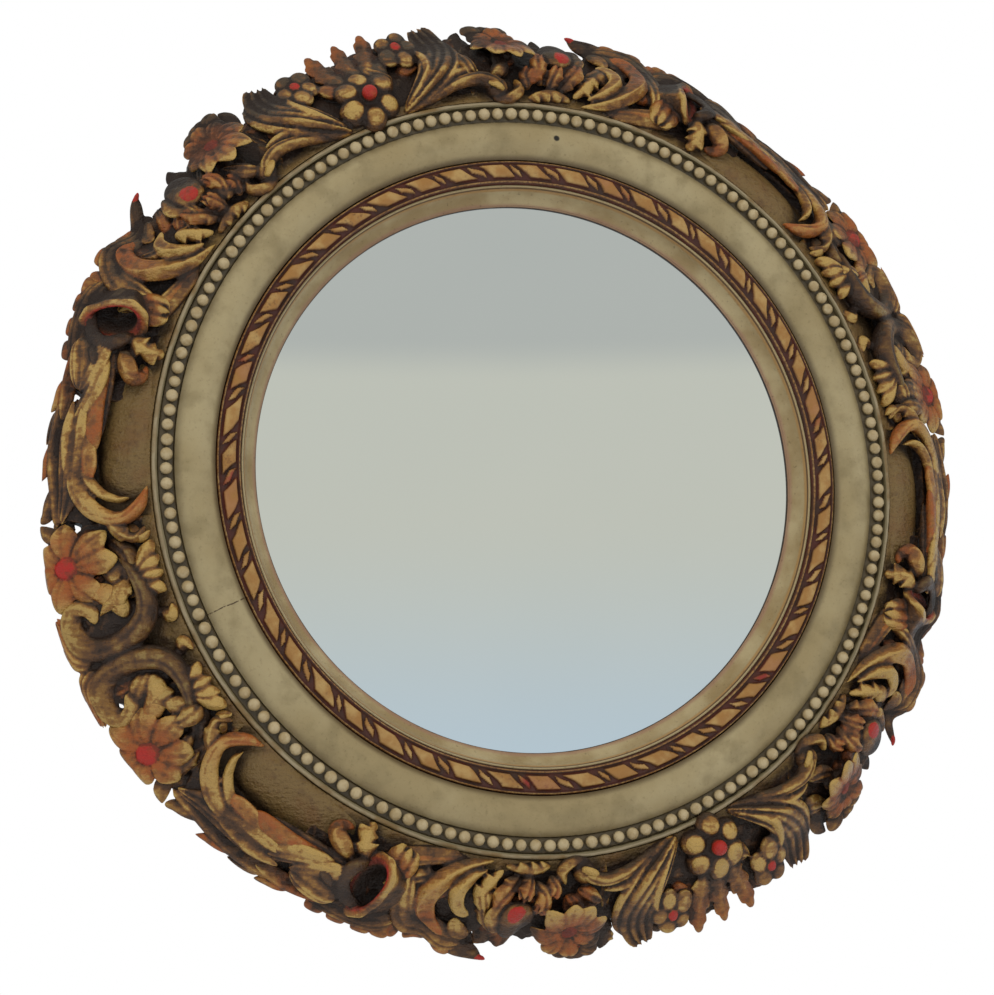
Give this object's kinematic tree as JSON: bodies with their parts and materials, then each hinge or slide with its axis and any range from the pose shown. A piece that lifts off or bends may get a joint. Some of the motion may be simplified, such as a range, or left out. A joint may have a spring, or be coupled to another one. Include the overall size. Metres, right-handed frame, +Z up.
{
  "type": "round carved wall mirror",
  "caption": "Round wall mirror with flat glass in a deep frame: roped inner moulding, cushion band, bead string and a carved border of flowers, leaves and scrolls.",
  "frame": {"origin": "centre of the mirror in the plane of the wall that it hangs on", "axes": "+Y into the wall, so the glass faces -Y; +Z up as hung; +X to the viewer's right"},
  "size_m": [0.7834, 0.0744, 0.782],
  "materials": {
    "cream_painted_wood": "aged cream distemper over gesso, satin",
    "plain_wood": "bare",
    "board_wood": "bare plywood",
    "bead_cream": "cream paint with dark wax in the gaps",
    "gilt_ribbon": "gold paint, dark brown gaps, red touches",
    "slip_cream_gilt": "cream and gilt, rubbed",
    "gilt_carving": "gold paint under dark patina, red accents",
    "mirror_glass": "silvered back, polished",
    "backing_card": "plain brown card",
    "brass": "satin, aged",
    "steel": "zinc plated",
    "felt": "pressed felt"
  },
  "bodies": {
    "frame": {"ring_quarter_1": "cream_painted_wood", "ring_quarter_2": "cream_painted_wood", "ring_quarter_3": "cream_painted_wood", "ring_quarter_4": "cream_painted_wood", "joint_splines": "plain_wood", "bead_strip_1": "bead_cream", "bead_strip_2": "bead_cream", "bead_strip_3": "bead_cream", "bead_strip_4": "bead_cream", "ribbon_strip_1": "gilt_ribbon", "ribbon_strip_2": "gilt_ribbon", "ribbon_strip_3": "gilt_ribbon", "ribbon_strip_4": "gilt_ribbon", "sight_slip": "slip_cream_gilt", "mirror_glass": "mirror_glass", "backing_sheet": "backing_card", "back_board": "board_wood", "button_screws": "brass", "hanger_plate_left": "steel", "hanger_plate_right": "steel", "hanger_screws": "steel", "wall_bumpers": "felt", "bouquet_1": "gilt_carving", "bouquet_2": "gilt_carving", "flower_spray_1": "gilt_carving", "flower_spray_2": "gilt_carving", "flower_spray_3": "gilt_carving", "flower_spray_4": "gilt_carving", "hook_leaf_1": "gilt_carving", "hook_leaf_2": "gilt_carving", "hook_leaf_3": "gilt_carving", "hook_leaf_4": "gilt_carving", "horn_scroll_1": "gilt_carving", "horn_scroll_2": "gilt_carving", "horn_scroll_3": "gilt_carving", "horn_scroll_4": "gilt_carving", "cartouche_1": "gilt_carving", "cartouche_2": "gilt_carving", "cartouche_3": "gilt_carving", "cartouche_4": "gilt_carving", "rosette_1": "gilt_carving", "rosette_2": "gilt_carving", "rosette_3": "gilt_carving", "rosette_4": "gilt_carving", "volute_pair_1": "gilt_carving", "volute_pair_2": "gilt_carving"},
    "turn_button_1": {"turn_button_1": "brass"},
    "turn_button_2": {"turn_button_2": "brass"},
    "turn_button_3": {"turn_button_3": "brass"},
    "turn_button_4": {"turn_button_4": "brass"},
    "turn_button_5": {"turn_button_5": "brass"},
    "turn_button_6": {"turn_button_6": "brass"},
    "hanger_ring_left": {"hanger_ring_left": "steel"},
    "hanger_ring_right": {"hanger_ring_right": "steel"}
  },
  "joints": [
    {"name": "button_turn_1", "type": "hinge", "parent": "frame", "child": "turn_button_1", "pos_m": [0.0855, -0.0137, 0.23492], "axis": [0, 1, 0], "range_deg": [-90, 90]},
    {"name": "button_turn_2", "type": "hinge", "parent": "frame", "child": "turn_button_2", "pos_m": [0.2462, -0.0137, 0.04341], "axis": [0, 1, 0], "range_deg": [-90, 90]},
    {"name": "button_turn_3", "type": "hinge", "parent": "frame", "child": "turn_button_3", "pos_m": [0.1607, -0.0137, -0.19151], "axis": [0, 1, 0], "range_deg": [-90, 90]},
    {"name": "button_turn_4", "type": "hinge", "parent": "frame", "child": "turn_button_4", "pos_m": [-0.0855, -0.0137, -0.23492], "axis": [0, 1, 0], "range_deg": [-90, 90]},
    {"name": "button_turn_5", "type": "hinge", "parent": "frame", "child": "turn_button_5", "pos_m": [-0.2462, -0.0137, -0.04341], "axis": [0, 1, 0], "range_deg": [-90, 90]},
    {"name": "button_turn_6", "type": "hinge", "parent": "frame", "child": "turn_button_6", "pos_m": [-0.1607, -0.0137, 0.19151], "axis": [0, 1, 0], "range_deg": [-90, 90]},
    {"name": "hanger_fold_left", "type": "hinge", "parent": "frame", "child": "hanger_ring_left", "pos_m": [-0.16534, -0.0025, 0.26459], "axis": [-1, 0, 0], "range_deg": [0, 165]},
    {"name": "hanger_fold_right", "type": "hinge", "parent": "frame", "child": "hanger_ring_right", "pos_m": [0.16534, -0.0025, 0.26459], "axis": [-1, 0, 0], "range_deg": [0, 165]}
  ]
}
